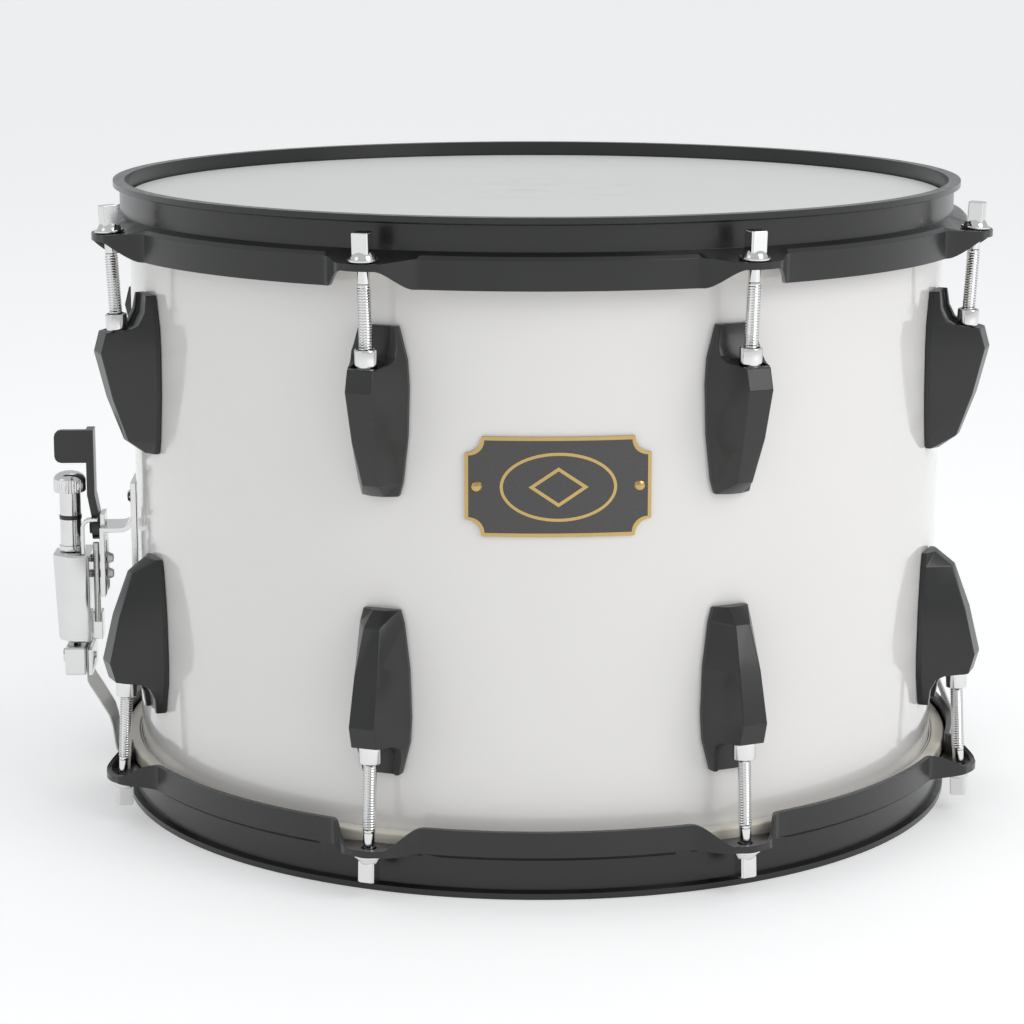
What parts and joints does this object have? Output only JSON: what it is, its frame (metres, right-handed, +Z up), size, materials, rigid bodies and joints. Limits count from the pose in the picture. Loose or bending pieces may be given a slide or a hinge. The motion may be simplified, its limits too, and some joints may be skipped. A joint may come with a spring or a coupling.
{
  "type": "snare drum",
  "caption": "Side snare drum with a white wrapped shell, pressed black hoops, key rods in wedge lugs, a throw-off strainer and snare wires.",
  "frame": {"origin": "on the drum's axis, in the plane that it stands on", "axes": "+Z up along the drum axis, -Y towards the badge, -X towards the strainer"},
  "size_m": [0.4026, 0.3736, 0.268],
  "materials": {
    "white_wrap": "white gloss wrap",
    "plywood": "clear lacquer",
    "head_film": "coated film",
    "flesh_hoop": "cream paint",
    "black_hoop": "black powder coat",
    "black_lug": "black satin",
    "chrome": "polished",
    "badge_brass": "polished edge, black enamel field",
    "strap_film": "translucent white film",
    "snare_wire": "bright coiled wire"
  },
  "bodies": {
    "drum": {"badge": "badge_brass", "batter_head": "head_film", "batter_lug_1": "black_lug", "batter_lug_2": "black_lug", "batter_lug_3": "black_lug", "batter_lug_4": "black_lug", "batter_lug_5": "black_lug", "batter_lug_6": "black_lug", "batter_lug_7": "black_lug", "batter_lug_8": "black_lug", "butt_clamp_bar": "chrome", "butt_plate": "chrome", "butt_screw": "chrome", "butt_strap": "strap_film", "shell": "plywood", "shell_wrap": "white_wrap", "snare_head": "head_film", "snare_lug_1": "black_lug", "snare_lug_2": "black_lug", "snare_lug_3": "black_lug", "snare_lug_4": "black_lug", "snare_lug_5": "black_lug", "snare_lug_6": "black_lug", "snare_lug_7": "black_lug", "snare_lug_8": "black_lug", "snare_wires": "snare_wire", "strainer_bracket": "chrome", "strainer_bracket_screw_lower": "chrome", "strainer_bracket_screw_upper": "chrome", "strainer_strap": "strap_film", "vent_grommet": "chrome"},
    "batter_rim": {"batter_hoop": "black_hoop", "batter_flesh_hoop": "flesh_hoop"},
    "batter_rod_1_body": {"batter_rod_1": "chrome"},
    "batter_rod_2_body": {"batter_rod_2": "chrome"},
    "batter_rod_3_body": {"batter_rod_3": "chrome"},
    "batter_rod_4_body": {"batter_rod_4": "chrome"},
    "batter_rod_5_body": {"batter_rod_5": "chrome"},
    "batter_rod_6_body": {"batter_rod_6": "chrome"},
    "batter_rod_7_body": {"batter_rod_7": "chrome"},
    "batter_rod_8_body": {"batter_rod_8": "chrome"},
    "snare_rim": {"snare_hoop": "black_hoop", "snare_flesh_hoop": "flesh_hoop"},
    "snare_rod_4_body": {"snare_rod_4": "chrome"},
    "snare_rod_3_body": {"snare_rod_3": "chrome"},
    "snare_rod_2_body": {"snare_rod_2": "chrome"},
    "snare_rod_1_body": {"snare_rod_1": "chrome"},
    "snare_rod_8_body": {"snare_rod_8": "chrome"},
    "snare_rod_7_body": {"snare_rod_7": "chrome"},
    "snare_rod_6_body": {"snare_rod_6": "chrome"},
    "snare_rod_5_body": {"snare_rod_5": "chrome"},
    "carriage": {"strainer_housing": "chrome", "strainer_link": "chrome", "strainer_hook": "chrome", "strainer_guide_screw_upper": "chrome", "strainer_guide_screw_lower": "chrome"},
    "lever": {"strainer_lever": "black_hoop"},
    "knob": {"strainer_knob": "chrome"},
    "clamp": {"strainer_clamp_block": "chrome", "strainer_clamp_bar": "chrome"}
  },
  "joints": [
    {"name": "batter_rim_slide", "type": "slide", "parent": "drum", "child": "batter_rim", "axis": [0, 0, 1], "range_m": [-0.0016, 0.0024]},
    {"name": "batter_rod_1_turn", "type": "hinge", "parent": "batter_rim", "child": "batter_rod_1_body", "pos_m": [0.074, -0.17865, 0.2515], "axis": [0.02, -0.0484, 0.9986], "range_deg": [-545, 817]},
    {"name": "batter_rod_2_turn", "type": "hinge", "parent": "batter_rim", "child": "batter_rod_2_body", "pos_m": [0.17865, -0.074, 0.2515], "axis": [0.0484, -0.02, 0.9986], "range_deg": [-545, 817]},
    {"name": "batter_rod_3_turn", "type": "hinge", "parent": "batter_rim", "child": "batter_rod_3_body", "pos_m": [0.17865, 0.074, 0.2515], "axis": [0.0484, 0.02, 0.9986], "range_deg": [-545, 817]},
    {"name": "batter_rod_4_turn", "type": "hinge", "parent": "batter_rim", "child": "batter_rod_4_body", "pos_m": [0.074, 0.17865, 0.2515], "axis": [0.02, 0.0484, 0.9986], "range_deg": [-545, 817]},
    {"name": "batter_rod_5_turn", "type": "hinge", "parent": "batter_rim", "child": "batter_rod_5_body", "pos_m": [-0.074, 0.17865, 0.2515], "axis": [-0.02, 0.0484, 0.9986], "range_deg": [-545, 817]},
    {"name": "batter_rod_6_turn", "type": "hinge", "parent": "batter_rim", "child": "batter_rod_6_body", "pos_m": [-0.17865, 0.074, 0.2515], "axis": [-0.0484, 0.02, 0.9986], "range_deg": [-545, 817]},
    {"name": "batter_rod_7_turn", "type": "hinge", "parent": "batter_rim", "child": "batter_rod_7_body", "pos_m": [-0.17865, -0.074, 0.2515], "axis": [-0.0484, -0.02, 0.9986], "range_deg": [-545, 817]},
    {"name": "batter_rod_8_turn", "type": "hinge", "parent": "batter_rim", "child": "batter_rod_8_body", "pos_m": [-0.074, -0.17865, 0.2515], "axis": [-0.02, -0.0484, 0.9986], "range_deg": [-545, 817]},
    {"name": "snare_rim_slide", "type": "slide", "parent": "drum", "child": "snare_rim", "axis": [0, 0, -1], "range_m": [-0.0012, 0.0024]},
    {"name": "snare_rod_4_turn", "type": "hinge", "parent": "snare_rim", "child": "snare_rod_4_body", "pos_m": [0.07405, 0.17878, 0.0188], "axis": [0.02, 0.0484, -0.9986], "range_deg": [-545, 817]},
    {"name": "snare_rod_3_turn", "type": "hinge", "parent": "snare_rim", "child": "snare_rod_3_body", "pos_m": [0.17878, 0.07405, 0.0188], "axis": [0.0484, 0.02, -0.9986], "range_deg": [-545, 817]},
    {"name": "snare_rod_2_turn", "type": "hinge", "parent": "snare_rim", "child": "snare_rod_2_body", "pos_m": [0.17878, -0.07405, 0.0188], "axis": [0.0484, -0.02, -0.9986], "range_deg": [-545, 817]},
    {"name": "snare_rod_1_turn", "type": "hinge", "parent": "snare_rim", "child": "snare_rod_1_body", "pos_m": [0.07405, -0.17878, 0.0188], "axis": [0.02, -0.0484, -0.9986], "range_deg": [-545, 817]},
    {"name": "snare_rod_8_turn", "type": "hinge", "parent": "snare_rim", "child": "snare_rod_8_body", "pos_m": [-0.07405, -0.17878, 0.0188], "axis": [-0.02, -0.0484, -0.9986], "range_deg": [-545, 817]},
    {"name": "snare_rod_7_turn", "type": "hinge", "parent": "snare_rim", "child": "snare_rod_7_body", "pos_m": [-0.17878, -0.07405, 0.0188], "axis": [-0.0484, -0.02, -0.9986], "range_deg": [-545, 817]},
    {"name": "snare_rod_6_turn", "type": "hinge", "parent": "snare_rim", "child": "snare_rod_6_body", "pos_m": [-0.17878, 0.07405, 0.0188], "axis": [-0.0484, 0.02, -0.9986], "range_deg": [-545, 817]},
    {"name": "snare_rod_5_turn", "type": "hinge", "parent": "snare_rim", "child": "snare_rod_5_body", "pos_m": [-0.07405, 0.17878, 0.0188], "axis": [-0.02, 0.0484, -0.9986], "range_deg": [-545, 817]},
    {"name": "lever_throw", "type": "hinge", "parent": "drum", "child": "lever", "pos_m": [-0.195, 0, 0.113], "axis": [-1, 0, 0], "range_deg": [0, 90]},
    {"name": "carriage_slide", "type": "slide", "parent": "drum", "child": "carriage", "axis": [0, 0, -1], "range_m": [0, 0.0075], "deforming": ["strainer_strap"]},
    {"name": "knob_turn", "type": "hinge", "parent": "carriage", "child": "knob", "pos_m": [-0.2065, 0, 0.1], "axis": [0, 0, 1], "range_deg": [-720, 720]},
    {"name": "clamp_slide", "type": "slide", "parent": "carriage", "child": "clamp", "axis": [0, 0, 1], "range_m": [-0.0016, 0.0016]}
  ],
  "couplings": [
    {"joint": "batter_rod_1_turn", "follows": "batter_rim_slide", "rad_per_m": 5938.7},
    {"joint": "batter_rod_2_turn", "follows": "batter_rim_slide", "rad_per_m": 5938.7},
    {"joint": "batter_rod_3_turn", "follows": "batter_rim_slide", "rad_per_m": 5938.7},
    {"joint": "batter_rod_4_turn", "follows": "batter_rim_slide", "rad_per_m": 5938.7},
    {"joint": "batter_rod_5_turn", "follows": "batter_rim_slide", "rad_per_m": 5938.7},
    {"joint": "batter_rod_6_turn", "follows": "batter_rim_slide", "rad_per_m": 5938.7},
    {"joint": "batter_rod_7_turn", "follows": "batter_rim_slide", "rad_per_m": 5938.7},
    {"joint": "batter_rod_8_turn", "follows": "batter_rim_slide", "rad_per_m": 5938.7},
    {"joint": "snare_rod_4_turn", "follows": "snare_rim_slide", "rad_per_m": 5938.7},
    {"joint": "snare_rod_3_turn", "follows": "snare_rim_slide", "rad_per_m": 5938.7},
    {"joint": "snare_rod_2_turn", "follows": "snare_rim_slide", "rad_per_m": 5938.7},
    {"joint": "snare_rod_1_turn", "follows": "snare_rim_slide", "rad_per_m": 5938.7},
    {"joint": "snare_rod_8_turn", "follows": "snare_rim_slide", "rad_per_m": 5938.7},
    {"joint": "snare_rod_7_turn", "follows": "snare_rim_slide", "rad_per_m": 5938.7},
    {"joint": "snare_rod_6_turn", "follows": "snare_rim_slide", "rad_per_m": 5938.7},
    {"joint": "snare_rod_5_turn", "follows": "snare_rim_slide", "rad_per_m": 5938.7},
    {"joint": "lever_throw", "follows": "carriage_slide", "rad_per_m": 209.43},
    {"joint": "knob_turn", "follows": "clamp_slide", "rad_per_m": -7850}
  ]
}
